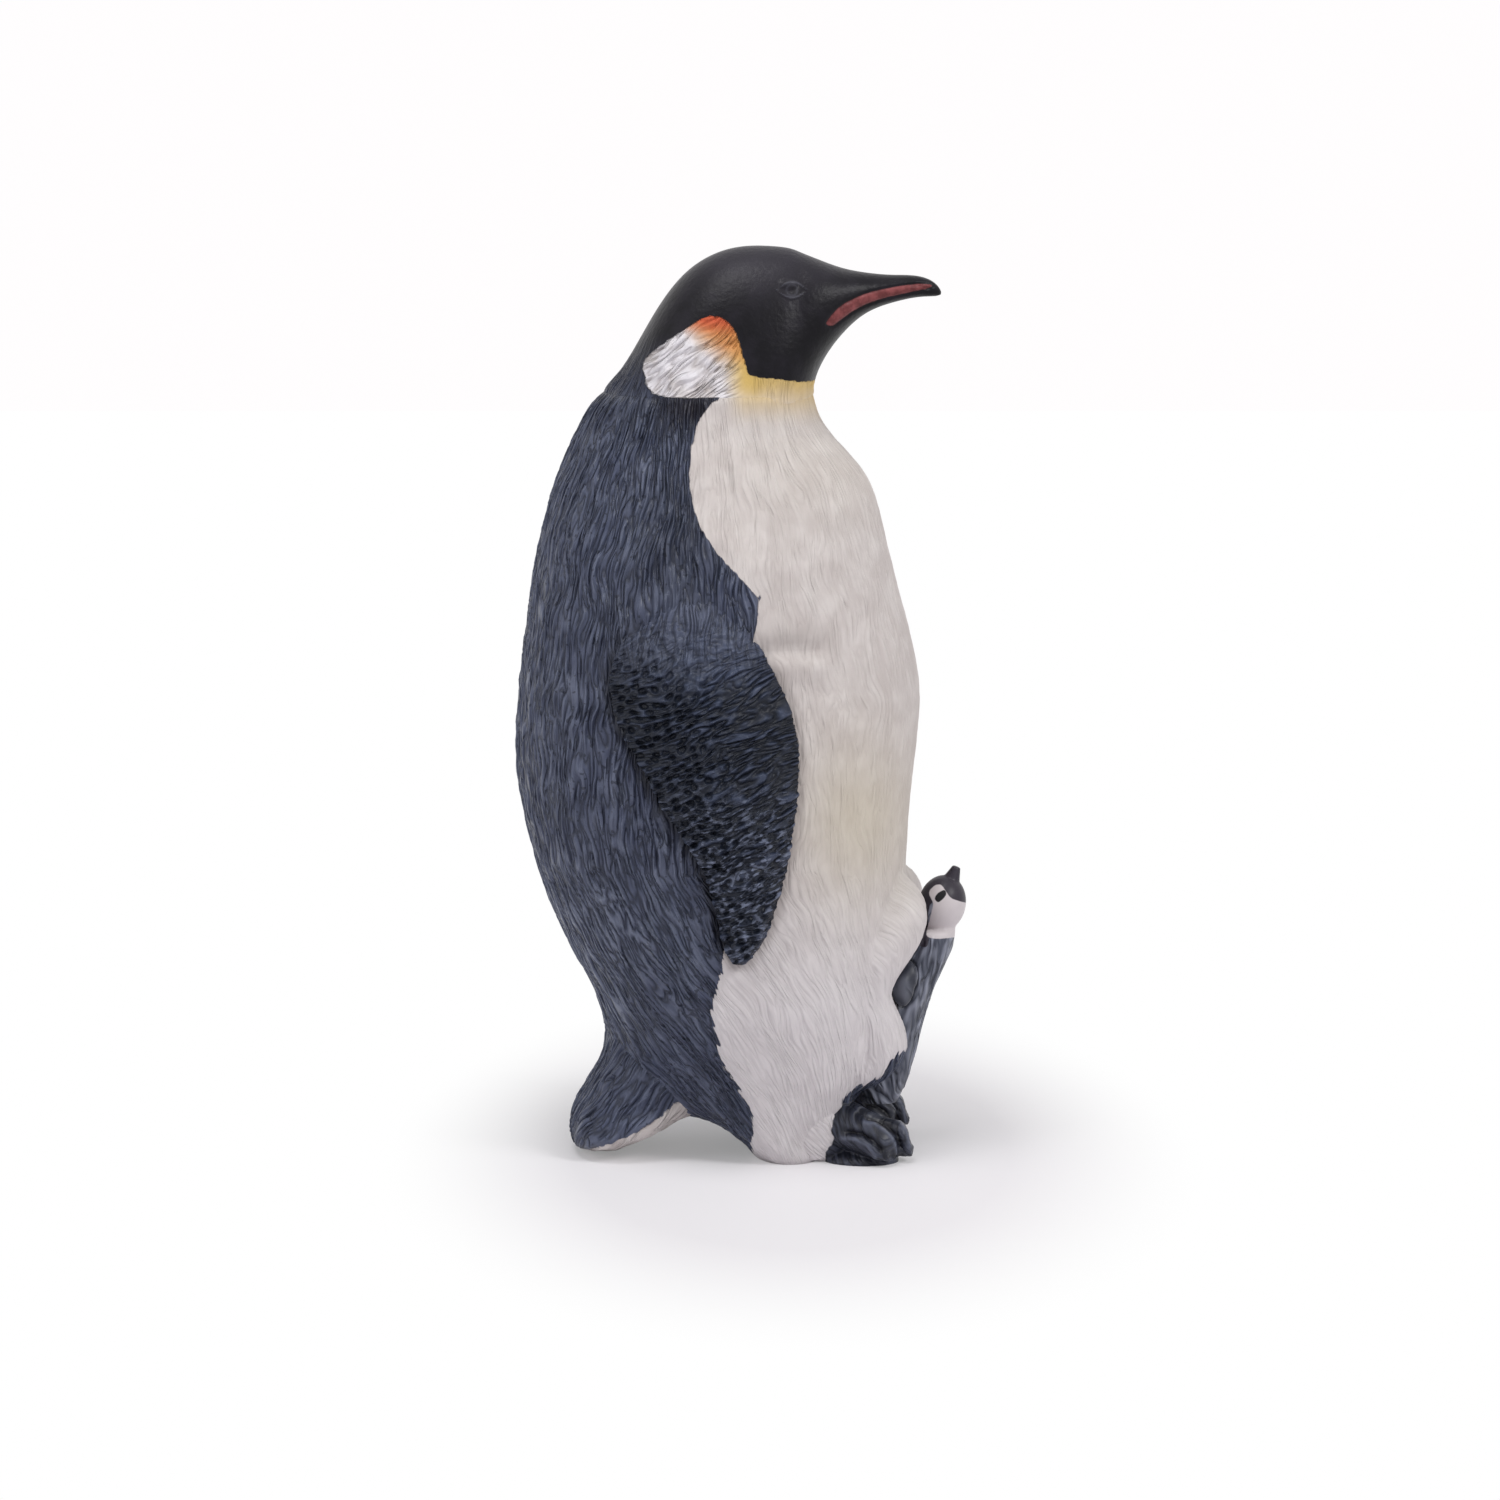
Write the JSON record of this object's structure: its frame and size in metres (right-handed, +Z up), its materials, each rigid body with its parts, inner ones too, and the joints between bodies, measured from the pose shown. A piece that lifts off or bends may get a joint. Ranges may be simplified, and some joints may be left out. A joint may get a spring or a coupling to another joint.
{
  "type": "penguin figurine",
  "caption": "Standing penguin figurine of glued vinyl mouldings, with a chick in its brood pouch, that rests on a flat base, its soles and its tail.",
  "frame": {"origin": "middle of the flat base under the torso, on the surface that the bird stands on", "axes": "+X is where the bird looks, +Y is its left, +Z is up"},
  "size_m": [0.0443, 0.0398, 0.0892],
  "materials": {
    "torso_vinyl": "painted solid vinyl, feather relief, off-white front and blue-grey back",
    "head_vinyl": "painted solid vinyl, satin black with orange ear patches",
    "flipper_vinyl": "painted solid vinyl, dry-brushed slate",
    "tail_vinyl": "painted solid vinyl, dry-brushed slate, pale underside",
    "foot_vinyl": "painted solid vinyl, charcoal",
    "chick_vinyl": "painted solid vinyl, grey down with a black cap and a white face"
  },
  "bodies": {
    "root": {"torso": "torso_vinyl", "head": "head_vinyl", "flipper_right": "flipper_vinyl", "flipper_left": "flipper_vinyl", "tail": "tail_vinyl", "foot_right": "foot_vinyl", "foot_left": "foot_vinyl", "chick": "chick_vinyl"}
  },
  "joints": []
}
